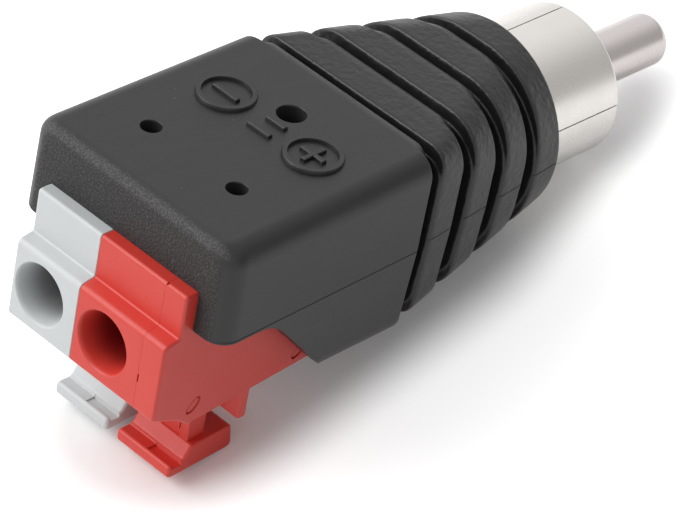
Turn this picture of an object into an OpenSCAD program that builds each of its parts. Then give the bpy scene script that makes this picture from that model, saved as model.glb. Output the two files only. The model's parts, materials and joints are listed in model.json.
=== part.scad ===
// Phono plug with two push-in wire terminals, as it lies on its push buttons and the edge of its shell.
// Sizes are set along the plug's own axis: x runs forward from the overmould's rear face, y is to the
// left, z is up and the plug axis is y = z = 0. lay() then tips every piece into the rest pose.

/* [Overmould] */
// Width of the box at its parting line, at the rear
box_w = 15.85; // [15.4:0.05:16.6]
// Width of the box at its parting line, at the first groove
front_w = 15.35; // [14.6:0.05:15.8]
// Top of the box above the plug axis, at the rear
top_h = 5.73; // [5.5:0.01:6.2]
// Top of the box above the plug axis, at the first groove
front_h = 5.93; // [5.7:0.01:6.3]
// Bottom of the box below the plug axis
belly_drop = 5.92; // [5.8:0.02:6.3]
// How much narrower each side is at the top and at the bottom
draft = 0.12; // [0.08:0.02:0.4]
// Radius of the box's top edges
edge_r = 1.3; // [0.9:0.1:1.6]
// Radius of the box's rear top edge
rear_r = 0.65; // [0.5:0.05:1]
// Radius of the box's bottom edges
belly_r = 1.3; // [1:0.1:1.8]
// Rear face to the middle of the first groove
groove_first = 16.15; // [15.8:0.05:17.5]
// Distance between grooves
groove_pitch = 3.36; // [3.2:0.02:3.8]
// Width of a groove at the surface
groove_w = 1.1; // [0.8:0.1:1.4]
// Depth of a groove
groove_d = 0.85; // [0.5:0.05:1.1]
// How much lower the first rib is than the box
rib_step = 0.24; // [0:0.02:0.4]
// Middle of the last groove to the front of the collar
collar_len = 2.54; // [2.2:0.02:3]
// Diameter of the collar
collar_d = 11.86; // [11.4:0.1:12.6]
// Where the skirt's sloped edge leaves the parting line
skirt_start = 4.1; // [3.8:0.1:5]
// Diameter of the two rear support holes
rear_hole_d = 1.25; // [1:0.05:1.5]
// Rear face to the rear support holes
rear_hole_x = 4.5; // [4.2:0.1:4.8]
// Plug axis to each rear support hole
rear_hole_y = 3.32; // [3.1:0.02:3.4]
// Diameter of the front support hole
front_hole_d = 1.75; // [1.4:0.05:2]
// Rear face to the front support hole
front_hole_x = 11.75; // [11.6:0.05:12]
// Depth of the front support hole
front_hole_deep = 2.2; // [1.8:0.1:2.4]

/* [Terminal block] */
// Distance between the two wire entries
pitch = 5.0; // [5:0.04:5.08]
// Thickness of the end plate that closes the red module's outer side
end_wall = 1.6; // [1.4:0.1:1.8]
// How far the upper rear face stands out of the overmould
face_out = 0.86; // [0.7:0.05:1.1]
// How far the ledge stands out beyond the upper face
ledge_out = 1.04; // [0.8:0.05:1.2]
// Top of the block above the plug axis
block_top = 2.3; // [2:0.1:2.5]
// Front of the block inside the overmould
block_front = 10.0; // [9.8:0.1:10.4]
// Height of the wire entry below the plug axis
entry_drop = 3.05; // [2.95:0.05:3.1]
// Diameter of the wire entry at its mouth
entry_d = 3.6; // [3.3:0.1:3.7]
// Diameter of the wire entry's straight throat
throat_d = 2.6; // [2.3:0.1:2.7]

/* [Push buttons] */
// Width of a button's foot
foot_w = 4.1; // [3.8:0.1:4.2]
// Lowest edge of a foot below the plug axis
foot_drop = 12.2; // [11.9:0.1:12.5]
// Travel of a button
stroke = 1.8; // [1.4:0.1:1.9]
// Side clearance of a button in its slot
slot_gap = 0.12; // [0.1:0.01:0.15]

/* [Plug] */
// Diameter of the centre pin
pin_d = 3.2; // [3.1:0.05:3.3]
// Length of the centre pin beyond the shell
pin_out = 8.0; // [7.5:0.1:9]
// Outer diameter of the shell
shell_d = 9.1; // [8.9:0.05:9.4]
// Wall of the shell
shell_wall = 0.4; // [0.3:0.05:0.5]
// Length of the shell beyond the collar
shell_out = 6.1; // [5.5:0.05:7]
// Width of a slit in the shell
slit_w = 0.15; // [0.1:0.05:0.25]
// Diameter of the link wires' jackets
jacket_d = 1.5; // [1.3:0.1:1.6]
// Diameter of the link wires' conductors
core_d = 0.8; // [0.6:0.1:0.9]

/* [Hidden] */
// Gap left between pieces that touch in the real object
fit = 0.02;
// The skirt ends just under the parting line; its slope runs this far forward for each mm it drops
skirt_z = -0.15;
skirt_run = 0.97;
skirt_turn = 1.1;
last_groove = groove_first + 3 * groove_pitch;
collar_front = last_groove + collar_len;
collar_r = collar_d / 2;
collar_edge = 0.25;
shell_r = shell_d / 2;
shell_in = shell_r - shell_wall;
shell_rear = last_groove - 1.4;
shell_front = collar_front + shell_out;
shell_edge = 0.2;
pin_r = pin_d / 2;
pin_edge = 0.7;
pin_tip = shell_front + pin_out;
bush_front = shell_rear + 2.8;
tail_rear = shell_rear - 2.6;
lug_rear = shell_rear - 3.6;
// Block: two modules of one pitch each, and the end plate on the red one's outer side
block_w = 2 * pitch + end_wall;
seam_y = block_w / 2 - pitch;
plate_y = end_wall - block_w / 2;
face_x = -face_out;
ledge_x = -face_out - ledge_out;
ledge_z = entry_drop * -0.14;
ledge_drop = 0.18;
rear_low_z = -entry_drop - 2.45;
heel_z = -entry_drop - 3.05;
floor_rear_z = -entry_drop - 3.8;
floor_front_z = -belly_drop - 0.12;
entry_y = seam_y - 2.15;
// Inner room of a module, measured from its wire entry; it is open to the module's right side
room_right = 2.5;
room_left = 1.75;
room_rear = 1.4;
room_front = block_front - 0.9;
room_top = block_top - 0.9;
room_floor = -entry_drop - 2.55;
bar_top = -entry_drop - 1.1;
bar_t = 0.5;
bar_half = 1.2;
riser_x = room_front - 0.6;
solder_top = block_top + 2.1;
wire_z = block_top + 1.3;
// Corner of the room that stays solid, under the current bar, and the pegs that hold the end plate
corner_x = room_front - 0.8;
corner_z = bar_top - bar_t - 0.05;
peg_r = 0.45;
pegs = [[room_rear - 0.3, room_floor], [room_front - 0.2, room_floor + 0.4]];
lug_x = 4.85;
lug_t = 0.65;
lug_drop = 3.0;
spring_t = 0.3;
spring_half = 1.1;
bend_r = (room_top - 0.2 + entry_drop - 1.45) / 2;
bend_x = riser_x - bend_r - spring_t;
bend_z = room_top - 0.2 - spring_t / 2 - bend_r;
// Buttons, measured from the wire entry in y
foot_right = 2.8;
foot_rear = 2.0;
foot_front = 6.75;
foot_toe = [foot_front - 0.3, 0.25 - foot_drop];
stem_rear = 3.6;
stem_front = 5.6;
foot_top = -foot_drop + 1.65;
lip_z = -foot_drop + 1.05;
post_w = 0.65;
post_in = 0.45;
plate_top = bar_top - bar_t - 0.15 - stroke;
post_top = bar_top - 0.2;
// Rest pose: the nose drops about the feet's toes until its first low point meets the floor
low_points = [
    [shell_front - shell_edge, -shell_r],
    [collar_front - collar_edge, -collar_r],
    [collar_front - 0.3 * collar_edge, -collar_r + 0.3 * collar_edge],
    [last_groove - groove_w, -belly_drop],
    [pin_tip - pin_edge, -pin_r]
];
rest_pitch = min([for (p = low_points) atan2(p[1] - foot_toe[1], p[0] - foot_toe[0])]);
low_corner = ledge_x * cos(rest_pitch) + rear_low_z * sin(rest_pitch);
tip_reach = (pin_tip - pin_edge) * cos(rest_pitch) + (pin_r - pin_edge) * sin(rest_pitch) + pin_edge;
shift_x = -(low_corner + tip_reach) / 2;
lift = foot_toe[0] * sin(rest_pitch) - foot_toe[1] * cos(rest_pitch);
black = [0.06, 0.06, 0.065];
grey = [0.66, 0.69, 0.7];
red = [0.75, 0.1, 0.07];
nickel = [0.78, 0.77, 0.74];
steel = [0.62, 0.63, 0.65];
tin = [0.75, 0.76, 0.77];
copper = [0.72, 0.42, 0.25];

// Tips a piece from the plug's own axes into the rest pose on the floor
module lay() {
    translate([shift_x, 0, lift])
        rotate([0, rest_pitch, 0])
            children();
}

// A flat outline in x and z, pushed from y0 to y1
module side(points, y0, y1) {
    translate([0, y1, 0])
        rotate([90, 0, 0])
            linear_extrude(height = y1 - y0)
                polygon(points);
}

// A cylinder along x
module rod(r, x0, x1, y = 0, z = 0) {
    translate([x0, y, z])
        rotate([0, 90, 0])
            cylinder(r = r, h = x1 - x0, $fn = 48);
}

// A closed skin over rings that all have the same number of points
module loft(rings) {
    n = len(rings[0]);
    m = len(rings);
    polyhedron(
        points = [for (r = rings) for (p = r) p],
        faces = concat(
            [[for (i = [0 : n - 1]) i]],
            [for (k = [0 : m - 2]) for (i = [0 : n - 1])
                [k * n + i, (k + 1) * n + i, (k + 1) * n + (i + 1) % n]],
            [for (k = [0 : m - 2]) for (i = [0 : n - 1])
                [k * n + i, (k + 1) * n + (i + 1) % n, k * n + (i + 1) % n]],
            [[for (i = [n - 1 : -1 : 0]) (m - 1) * n + i]]
        ),
        convexity = 10
    );
}

// A quarter arc of a ring: centre, radius, first angle and the angle left out at each end
function arc(x, cy, cz, r, a0, e, n = 6) =
    [for (k = [0 : n]) let (q = a0 + e + (90 - 2 * e) * k / n) [x, cy + r * cos(q), cz + r * sin(q)]];

// Share of the way from the box's section to the collar's circle
function blend(x) = min(1, max(0, (x - groove_first) / (collar_front - collar_edge - groove_first)));
function mix(a, b, t) = a + (b - a) * t;

// The overmould's section at x, drawn in by d at its sides and by u at its top and bottom
function section(x, d, u) =
    let (
        t = blend(x),
        e = 6.5 * t,
        back = min(1, max(0, x / groove_first)),
        step = x > groove_first ? rib_step * (1 - t) : 0,
        half = mix(mix(box_w, front_w, back) / 2, collar_r, t) - d - step,
        high = mix(mix(top_h, front_h, back), collar_r, t) - u - step,
        low = mix(belly_drop, collar_r, t) - u - step,
        slim = half - draft * (1 - t),
        top_r = max(0.15, mix(edge_r, collar_r, t) - d - step),
        low_r = max(0.15, mix(belly_r, collar_r, t) - d - step)
    )
    concat(
        [[x, half, 0]],
        arc(x, slim - top_r, high - top_r, top_r, 0, e),
        arc(x, top_r - slim, high - top_r, top_r, 90, e),
        [[x, -half, 0]],
        arc(x, low_r - slim, low_r - low, low_r, 180, e),
        arc(x, slim - low_r, low_r - low, low_r, 270, e)
    );

// Rings over one groove, with softened shoulders
function groove_rings(g) =
    let (w = groove_w / 2)
    [for (s = [[-w - 0.35, 0], [-w - 0.1, 0.06], [-w + 0.06, 0.26], [-0.22, groove_d], [0.22, groove_d],
        [w - 0.06, 0.26], [w + 0.1, 0.06], [w + 0.35, 0]]) section(g + s[0], s[1], s[1])];

// How far an edge of radius r has drawn in at a depth x behind the end
function inset(x, r) = x < r ? r - sqrt(r * r - (r - x) * (r - x)) : 0;

// Rings over a rounded end: its x, the side and top radii and which way the solid lies
function end_rings(x, r, v, way) =
    [for (k = [0 : 4]) let (q = 90 * (way > 0 ? k : 4 - k) / 4, h = r * (1 - cos(q)))
        section(x + way * h, inset(h, r), inset(h, v))];

// A tube of rings along a path of points, square to the path at each one
function unit(v) = v / norm(v);
function heading(path, i) =
    unit(path[min(i + 1, len(path) - 1)] - path[max(i - 1, 0)]);
function tube_ring(p, h, r, n) =
    let (
        u = unit(cross([0, 0, 1], h)),
        v = cross(h, u)
    )
    [for (k = [0 : n - 1]) p + r * cos(360 * k / n) * u + r * sin(360 * k / n) * v];
function tube_rings(path, r, n = 14) = [for (i = [0 : len(path) - 1]) tube_ring(path[i], heading(path, i), r, n)];

// Link wires run from the solder pins to the pin's tail and to the shell's lug, in smooth S bends
function ease(t) = t * t * (3 - 2 * t);
function link(a, b, n = 8) =
    [for (k = [0 : n]) let (t = k / n, s = ease(t))
        [mix(a[0], b[0], t), mix(a[1], b[1], s), mix(a[2], b[2], s)]];
function strip(path, x0, x1) =
    concat([[x0, path[0][1], path[0][2]]], path, [[x1, path[len(path) - 1][1], path[len(path) - 1][2]]]);
signal_path = link([block_front + 1.6, entry_y, wire_z], [tail_rear - 1.2, 0, 0]);
ground_path = link([block_front + 1.6, entry_y + pitch, wire_z], [lug_rear - 1.2, 0, shell_in - core_d / 2 - 0.05]);
wire_rear = riser_x + 0.5 + fit;
signal_end = tail_rear + 1.2;
ground_end = lug_rear + 2.4;

// The skirt's lower edge turns from the parting line into its slope along a smooth curve
function skirt_point(t) = [
    skirt_start + skirt_turn * (t * t * skirt_run - (1 - t) * (1 - t)),
    skirt_z - skirt_turn * t * t
];

// The block's outer profile, seen from its side
function block_profile() = [
    [face_x, block_top],
    [face_x, ledge_z],
    [ledge_x, ledge_z - ledge_drop],
    [ledge_x, rear_low_z],
    [0, heel_z],
    [0.9, floor_rear_z],
    [block_front, floor_front_z],
    [block_front, block_top]
];

// A cylinder along y
module cross_rod(r, x, z, y0, y1) {
    translate([x, y1, z])
        rotate([90, 0, 0])
            cylinder(r = r, h = y1 - y0, $fn = 32);
}

// One module: the outer block less the wire entry, the room and its slots
module housing(y0, y1, yc) {
    difference() {
        side(block_profile(), y0, y1);
        // tapered mouth and straight throat of the wire entry
        translate([ledge_x - 0.01, yc, -entry_drop])
            rotate([0, 90, 0])
                cylinder(r1 = entry_d / 2, r2 = throat_d / 2, h = room_rear - 1.2 - ledge_x, $fn = 48);
        rod(throat_d / 2, room_rear - 1.3, room_rear + 0.1, yc, -entry_drop);
        // room for the spring and the contact, and the part of it beside its solid corner
        translate([room_rear, y0 - 1, corner_z])
            cube([room_front - room_rear, yc + room_left - y0 + 1, room_top - corner_z]);
        translate([room_rear, y0 - 1, room_floor])
            cube([corner_x - room_rear, yc + room_left - y0 + 1, corner_z - room_floor + 0.1]);
        // slot for the button's stem in the floor
        translate([stem_rear - slot_gap, yc - foot_right + post_in - slot_gap, -entry_drop - 6])
            cube([stem_front - stem_rear + 2 * slot_gap, foot_w - 2 * post_in + 2 * slot_gap, 5]);
        // slot for the contact's riser in the roof
        translate([riser_x - fit, yc - bar_half - fit, room_top - 0.1])
            cube([0.5 + 2 * fit, 2 * bar_half + 2 * fit, 2]);
    }
}

// A push button: foot plate with a stepped lip, the stem and the tall post on one side of it
module button(yc) {
    y0 = yc - foot_right;
    y1 = y0 + foot_w;
    foot = [
        [foot_rear, -foot_drop + 0.25],
        [foot_rear + 0.25, -foot_drop + 0.03],
        foot_toe,
        [foot_front, foot_toe[1] + 0.3],
        [foot_front - 0.3, foot_top + 0.2],
        [stem_rear, foot_top],
        [foot_rear + 0.05, lip_z]
    ];
    high_foot = [
        [foot_rear, -foot_drop + 0.25],
        [foot_rear + 0.25, -foot_drop + 0.03],
        foot_toe,
        [foot_front, foot_toe[1] + 0.3],
        [foot_front - 0.3, foot_top + 0.2],
        [stem_rear, foot_top + 0.12],
        [foot_rear + 0.25, lip_z + 0.32],
        [foot_rear, lip_z + 0.2]
    ];
    side(foot, y0, y1);
    side(high_foot, y0 + foot_w / 2, y1);
    // stem that slides in the floor's slot and stops under the current bar
    translate([stem_rear, y0 + post_in, foot_top - 0.3])
        cube([stem_front - stem_rear, foot_w - 2 * post_in, plate_top - foot_top + 0.3]);
    // post that passes beside the wire and lifts the spring
    translate([stem_rear + 0.8, y0 + post_in, plate_top - 0.1])
        cube([1.0, post_w, post_top - plate_top + 0.1]);
}

// Middle line of the clamp spring: fixed leg, bend, clamping leg
spring_line = concat(
    [[3.0, bend_z + bend_r]],
    [for (k = [0 : 8]) [bend_x + bend_r * sin(180 * k / 8), bend_z + bend_r * cos(180 * k / 8)]],
    [[4.2, bar_top + 0.28]]
);
function line_normal(l, i) =
    let (h = unit(l[min(i + 1, len(l) - 1)] - l[max(i - 1, 0)])) [-h[1], h[0]];
function band_outline(l, t) = concat(
    [for (i = [0 : len(l) - 1]) l[i] + line_normal(l, i) * t / 2],
    [for (i = [len(l) - 1 : -1 : 0]) l[i] - line_normal(l, i) * t / 2]
);

// Clamp spring of one pole, with the side lug that the post lifts
module spring(yc) {
    a = [for (i = [0 : 1]) spring_line[len(spring_line) - 2 + i]];
    lug = [mix(a[0], a[1], 0.35), mix(a[0], a[1], 0.85)];
    side(band_outline(spring_line, spring_t), yc - spring_half, yc + spring_half);
    side(band_outline(lug, spring_t), yc - room_right + 0.2, yc - spring_half + 0.1);
}

// Current bar of one pole: floor strip, riser at the front and solder pin
module contact(yc) {
    translate([room_rear + 0.8, yc - bar_half, bar_top - bar_t])
        cube([riser_x + 0.5 - room_rear - 0.8, 2 * bar_half, bar_t]);
    translate([riser_x, yc - bar_half, bar_top - bar_t])
        cube([0.5, 2 * bar_half, block_top - bar_top + bar_t - 0.1]);
    translate([riser_x, yc - 0.5, block_top - 0.2])
        cube([0.5, 1, solder_top - block_top + 0.2]);
}

module overmould() {
    color(black)
        lay()
            difference() {
                loft(concat(
                    end_rings(0, edge_r, rear_r, 1),
                    [for (i = [0 : 3]) each groove_rings(groove_first + i * groove_pitch)],
                    end_rings(collar_front, collar_edge, collar_edge, -1)
                ));
                // the skirt stops at the parting line and turns down to the belly
                side(concat(
                    [[-1, skirt_z]],
                    [for (k = [0 : 5]) skirt_point(k / 5)],
                    [[skirt_start + (belly_drop + 1 + skirt_z) * skirt_run, -belly_drop - 1], [-1, -belly_drop - 1]]
                ), -box_w, box_w);
                // the terminal block sits in the open rear
                translate([-1, -block_w / 2 - fit, -belly_drop - 1])
                    cube([block_front + 1 + fit, block_w + 2 * fit, belly_drop + 1 + block_top + fit]);
                // solder pins
                for (y = [entry_y, entry_y + pitch])
                    translate([riser_x - fit, y - 0.5 - fit, block_top - 0.1])
                        cube([0.5 + 3 * fit, 1 + 2 * fit, solder_top - block_top + 0.1 + fit]);
                // link wires
                loft(tube_rings(strip(signal_path, wire_rear - 0.05, signal_end), core_d / 2 + fit));
                loft(tube_rings(signal_path, jacket_d / 2 + fit));
                loft(tube_rings(strip(ground_path, wire_rear - 0.05, ground_end + fit), core_d / 2 + fit));
                loft(tube_rings(ground_path, jacket_d / 2 + fit));
                // shell, its lug and the pin's tail
                rod(shell_r + fit, shell_rear - fit, collar_front + 1);
                translate([lug_rear - fit, -1 - fit, shell_in - 0.5])
                    cube([4, 2 + 2 * fit, shell_wall + 0.5 + fit]);
                rod(0.95 + fit, tail_rear - fit, shell_rear + 0.1);
                // holes left by the mould's support pins
                for (y = [-rear_hole_y, rear_hole_y])
                    translate([rear_hole_x, y, 0])
                        cylinder(d = rear_hole_d, h = top_h + 1, $fn = 32);
                translate([front_hole_x, 0, top_h - front_hole_deep])
                    cylinder(d = front_hole_d, h = front_hole_deep + 1, $fn = 32);
            }
}

module grey_housing() {
    color(grey)
        lay()
            housing(seam_y + fit, block_w / 2, entry_y + pitch);
}

// The red module carries the two pegs on which the end plate is pressed
module red_housing() {
    color(red)
        lay() {
            housing(plate_y, seam_y, entry_y);
            for (p = pegs)
                cross_rod(peg_r, p[0], p[1], 0.05 - block_w / 2, plate_y + 0.3);
        }
}

// Plate that closes the red module, with a small lug below it beside the button
module end_plate() {
    color(red)
        lay()
            difference() {
                union() {
                    side(block_profile(), -block_w / 2, plate_y - fit);
                    translate([lug_x, -block_w / 2, room_floor + 0.2 - lug_drop])
                        cube([lug_t, end_wall - 0.2, lug_drop]);
                }
                for (p = pegs)
                    cross_rod(peg_r + fit, p[0], p[1], -block_w / 2 - 1, plate_y + 1);
            }
}

module grey_button() {
    color(grey)
        lay()
            button(entry_y + pitch);
}

module red_button() {
    color(red)
        lay()
            button(entry_y);
}

module grey_spring() {
    color(steel)
        lay()
            spring(entry_y + pitch);
}

module red_spring() {
    color(steel)
        lay()
            spring(entry_y);
}

module grey_contact() {
    color(tin)
        lay()
            contact(entry_y + pitch);
}

module red_contact() {
    color(tin)
        lay()
            contact(entry_y);
}

// Ground shell: a thin tube with four slits at its free end and a solder lug at its rear
module rca_shell() {
    color(nickel)
        lay()
            difference() {
                union() {
                    rotate([0, 90, 0])
                        rotate_extrude($fn = 96)
                            polygon([
                                [shell_in, shell_rear],
                                [shell_r, shell_rear],
                                [shell_r, shell_front - shell_edge],
                                [shell_r - shell_edge, shell_front],
                                [shell_in, shell_front]
                            ]);
                    intersection() {
                        translate([lug_rear, -1, shell_in - 0.5])
                            cube([4, 2, 2]);
                        difference() {
                            rod(shell_r, lug_rear - 1, shell_rear + 1);
                            rod(shell_in, lug_rear - 2, shell_rear + 2);
                        }
                    }
                }
                for (a = [81, 171])
                    rotate([a, 0, 0])
                        translate([collar_front + 0.3, -slit_w / 2, -shell_d])
                            cube([shell_out, slit_w, 2 * shell_d]);
            }
}

// Bush that holds the pin in the shell
module insulator() {
    color([0.85, 0.85, 0.82])
        lay()
            difference() {
                rod(shell_in - fit, shell_rear + 0.1, bush_front);
                rod(pin_r - 0.2 + fit, shell_rear - 1, bush_front + 1);
            }
}

// Centre pin: rounded tip, full-size front, reduced stem in the bush and a solder cup behind
module centre_pin() {
    color(nickel)
        lay()
            difference() {
                rotate([0, 90, 0])
                    rotate_extrude($fn = 64)
                        polygon(concat(
                            [
                                [0, tail_rear],
                                [0.95, tail_rear],
                                [0.95, shell_rear + 0.1],
                                [pin_r - 0.2, shell_rear + 0.1],
                                [pin_r - 0.2, bush_front + fit],
                                [pin_r, bush_front + fit]
                            ],
                            [for (k = [0 : 6])
                                [pin_r - pin_edge + pin_edge * cos(15 * k), pin_tip - pin_edge + pin_edge * sin(15 * k)]],
                            [[0, pin_tip]]
                        ));
                rod(core_d / 2 + 0.08, tail_rear - 1, tail_rear + 1.6);
            }
}

module ground_wire() {
    color(copper)
        lay()
            loft(tube_rings(strip(ground_path, wire_rear, ground_end), core_d / 2));
}

module signal_wire() {
    color(copper)
        lay()
            loft(tube_rings(strip(signal_path, wire_rear, signal_end), core_d / 2));
}

// A wire's jacket covers the path between its stripped ends
module jacket(path) {
    difference() {
        loft(tube_rings(path, jacket_d / 2));
        loft(tube_rings(strip(path, path[0][0] - jacket_d, path[len(path) - 1][0] + jacket_d), core_d / 2 + fit));
    }
}

module ground_jacket() {
    color([0.1, 0.1, 0.1])
        lay()
            jacket(ground_path);
}

module signal_jacket() {
    color([0.7, 0.12, 0.1])
        lay()
            jacket(signal_path);
}

overmould();
grey_housing();
red_housing();
end_plate();
grey_button();
red_button();
grey_spring();
red_spring();
grey_contact();
red_contact();
rca_shell();
insulator();
centre_pin();
ground_wire();
ground_jacket();
signal_wire();
signal_jacket();
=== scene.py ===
import json
import math

import bmesh
import bpy
from mathutils import Matrix, Vector


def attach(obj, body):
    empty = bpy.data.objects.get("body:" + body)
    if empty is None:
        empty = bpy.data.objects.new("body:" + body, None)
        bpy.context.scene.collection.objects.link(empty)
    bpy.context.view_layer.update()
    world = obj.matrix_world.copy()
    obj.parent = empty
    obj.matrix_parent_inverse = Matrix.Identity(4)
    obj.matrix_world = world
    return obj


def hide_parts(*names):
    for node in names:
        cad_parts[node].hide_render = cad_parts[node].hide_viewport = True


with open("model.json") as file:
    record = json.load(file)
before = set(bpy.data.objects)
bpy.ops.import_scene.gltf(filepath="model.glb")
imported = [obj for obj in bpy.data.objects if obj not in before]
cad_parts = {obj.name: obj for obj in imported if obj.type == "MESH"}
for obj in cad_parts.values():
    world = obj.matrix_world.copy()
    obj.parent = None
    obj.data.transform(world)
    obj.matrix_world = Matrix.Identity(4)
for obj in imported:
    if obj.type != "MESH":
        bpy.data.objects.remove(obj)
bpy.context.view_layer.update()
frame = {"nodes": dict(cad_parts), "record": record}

# Terminal modules: two push-in terminals, one light grey and one red, injection moulded in nylon
# and pushed side by side into the moulding. Each has a tapered wire entry under a ledge, a room
# for its clamp that is open on the right, and a slot in its floor for the push button.
MM = 0.001
PIN_MIDDLE = 34.91
pin_mount = next(m for m in frame["record"]["mounts"] if m["name"] == "centre_pin")
plug_axis = Vector(pin_mount["axis"])
rest_pitch = math.atan2(-plug_axis.z, plug_axis.x)
rear_point = Vector(pin_mount["pos_m"]) - plug_axis * PIN_MIDDLE * MM
# from millimetres along the plug's own axes to metres in the pose in which it lies
laid_down = Matrix.Translation(rear_point) @ Matrix.Rotation(rest_pitch, 4, "Y") @ Matrix.Scale(MM, 4)


def skin(name, points, faces):
    """A closed shape from its points and faces, with its faces turned outwards."""
    mesh = bpy.data.meshes.new(name)
    mesh.from_pydata(points, [], faces)
    shape = bmesh.new()
    shape.from_mesh(mesh)
    bmesh.ops.recalc_face_normals(shape, faces=shape.faces)
    shape.to_mesh(mesh)
    shape.free()
    piece = bpy.data.objects.new(name, mesh)
    bpy.context.scene.collection.objects.link(piece)
    return piece


def loft(name, rings):
    """A skin over rings of equally many points, capped at both ends."""
    count = len(rings[0])
    faces = [list(range(count)), [len(rings) * count - 1 - i for i in range(count)]]
    for k in range(len(rings) - 1):
        a, b = k * count, (k + 1) * count
        faces += [(a + i, a + (i + 1) % count, b + (i + 1) % count, b + i) for i in range(count)]
    return skin(name, [p for ring in rings for p in ring], faces)


def rounded(corners, steps=5):
    """A flat outline in x and z from corners (x, z, radius)."""
    outline = []
    for i, (x, z, radius) in enumerate(corners):
        here = Vector((x, z))
        back = Vector(corners[i - 1][:2]) - here
        ahead = Vector(corners[(i + 1) % len(corners)][:2]) - here
        half = back.angle(ahead) / 2
        reach = min(radius / math.tan(half), 0.48 * back.length, 0.48 * ahead.length)
        radius = reach * math.tan(half)
        centre = here + (back.normalized() + ahead.normalized()).normalized() * radius / math.sin(half)
        first = here + back.normalized() * reach - centre
        last = here + ahead.normalized() * reach - centre
        turn = first.angle_signed(last)
        for k in range(steps + 1):
            a = -turn * k / steps
            outline.append((centre.x + first.x * math.cos(a) - first.y * math.sin(a),
                            centre.y + first.x * math.sin(a) + first.y * math.cos(a)))
    return outline


def drawn_in(outline, depth):
    """The outline moved inwards by depth."""
    area = sum(a[0] * b[1] - b[0] * a[1] for a, b in zip(outline, outline[1:] + outline[:1]))
    moved = []
    for i, point in enumerate(outline):
        back = (Vector(point) - Vector(outline[i - 1])).normalized()
        ahead = (Vector(outline[(i + 1) % len(outline)]) - Vector(point)).normalized()
        inward = Vector((-back.y - ahead.y, back.x + ahead.x)).normalized() * math.copysign(1, area)
        mitre = max(0.4, math.sqrt((1 + back.dot(ahead)) / 2))
        moved.append(tuple(Vector(point) + inward * depth / mitre))
    return moved


def rim(outline, y, edge, way, steps=4):
    """Rings over a rounded rim at y, for a shape that goes on along y or ends there (way 1 or -1)."""
    rings = []
    for k in range(steps + 1):
        q = math.radians(90 * k / steps)
        inner = drawn_in(outline, edge * (1 - math.sin(q)))
        rings.append([(x, y + way * edge * (1 - math.cos(q)), z) for x, z in inner])
    return rings[::way]


def slab(name, outline, y0, y1, edge0, edge1, steps=4):
    """The outline pushed from y0 to y1, with its two rims rounded."""
    return loft(name, rim(outline, y0, edge0, 1, steps) + rim(outline, y1, edge1, -1, steps))


def lathe(name, profile, y=0.0, z=0.0, segments=64):
    """A solid turned about a line along x, from pairs of x and radius."""
    turns = [math.tau * k / segments for k in range(segments)]
    return loft(name, [[(x, y + r * math.cos(q), z + r * math.sin(q)) for q in turns] for x, r in profile])


def block(name, low, high):
    """A plain cutting tool between two corners."""
    (x0, y0, z0), (x1, y1, z1) = low, high
    return loft(name, [[(x, y0, z0), (x, y1, z0), (x, y1, z1), (x, y0, z1)] for x in (x0, x1)])


def plain_mesh(piece):
    """Turns a shape with modifiers into a plain mesh."""
    made = bpy.data.meshes.new_from_object(piece.evaluated_get(bpy.context.evaluated_depsgraph_get()))
    piece.modifiers.clear()
    piece.data = made


def work(piece, tools, operation="DIFFERENCE"):
    """Cuts the tools out of the piece, or joins them to it."""
    for tool in tools:
        step = piece.modifiers.new("work", "BOOLEAN")
        step.operation = operation
        step.object = tool
        step.solver = "EXACT"
        plain_mesh(piece)
        bpy.data.objects.remove(tool)
    return piece


def settle(piece, finish, sharp=38):
    """Shades a finished shape and lays it where the plug lies."""
    piece.data.materials.clear()
    piece.data.materials.append(finish)
    piece.data.shade_smooth()
    piece.data.set_sharp_from_angle(angle=math.radians(sharp))
    even = piece.modifiers.new("even", "WEIGHTED_NORMAL")
    even.keep_sharp = True
    plain_mesh(piece)
    piece.data.transform(laid_down)
    piece.data.name = piece.name
    return piece


class Shade:
    """A socket in a node tree: arithmetic on it adds Math nodes, and node() adds any other node."""

    def __init__(self, tree, socket):
        self.tree = tree
        self.socket = socket

    def node(self, kind, settings, values, out=0):
        made = self.tree.nodes.new(kind)
        for key, value in settings.items():
            setattr(made, key, value)
        for key, value in values.items():
            if isinstance(value, Shade):
                self.tree.links.new(value.socket, made.inputs[key])
            else:
                made.inputs[key].default_value = value
        return Shade(self.tree, made.outputs[out])

    def math(self, operation, a, b):
        return self.node("ShaderNodeMath", {"operation": operation}, {0: a, 1: b})

    def __add__(self, other):
        return self.math("ADD", self, other)

    def __radd__(self, other):
        return self.math("ADD", other, self)

    def __sub__(self, other):
        return self.math("SUBTRACT", self, other)

    def __rsub__(self, other):
        return self.math("SUBTRACT", other, self)

    def __mul__(self, other):
        return self.math("MULTIPLY", self, other)

    def __rmul__(self, other):
        return self.math("MULTIPLY", other, self)

    def __lt__(self, other):
        return self.math("LESS_THAN", self, other)

    def __gt__(self, other):
        return self.math("GREATER_THAN", self, other)

    def noise(self, scale, detail=2.0, rough=0.5):
        """Noise of about 0 to 1 over this socket's coordinates."""
        values = {"Vector": self, "Scale": scale, "Detail": detail, "Roughness": rough}
        return self.node("ShaderNodeTexNoise", {}, values, "Fac")

    def ramp(self, low, high):
        """A smooth step from 0 at low to 1 at high."""
        values = {"Value": self, 1: low, 2: high, 3: 0.0, 4: 1.0}
        return self.node("ShaderNodeMapRange", {"interpolation_type": "SMOOTHSTEP"}, values)

    def between(self, first, second):
        """A colour mixed by this socket."""
        return self.node("ShaderNodeMix", {"data_type": "RGBA"}, {0: self, 6: first, 7: second}, 2)

    def into(self, shader, name):
        self.tree.links.new(self.socket, shader.inputs[name])


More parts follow.
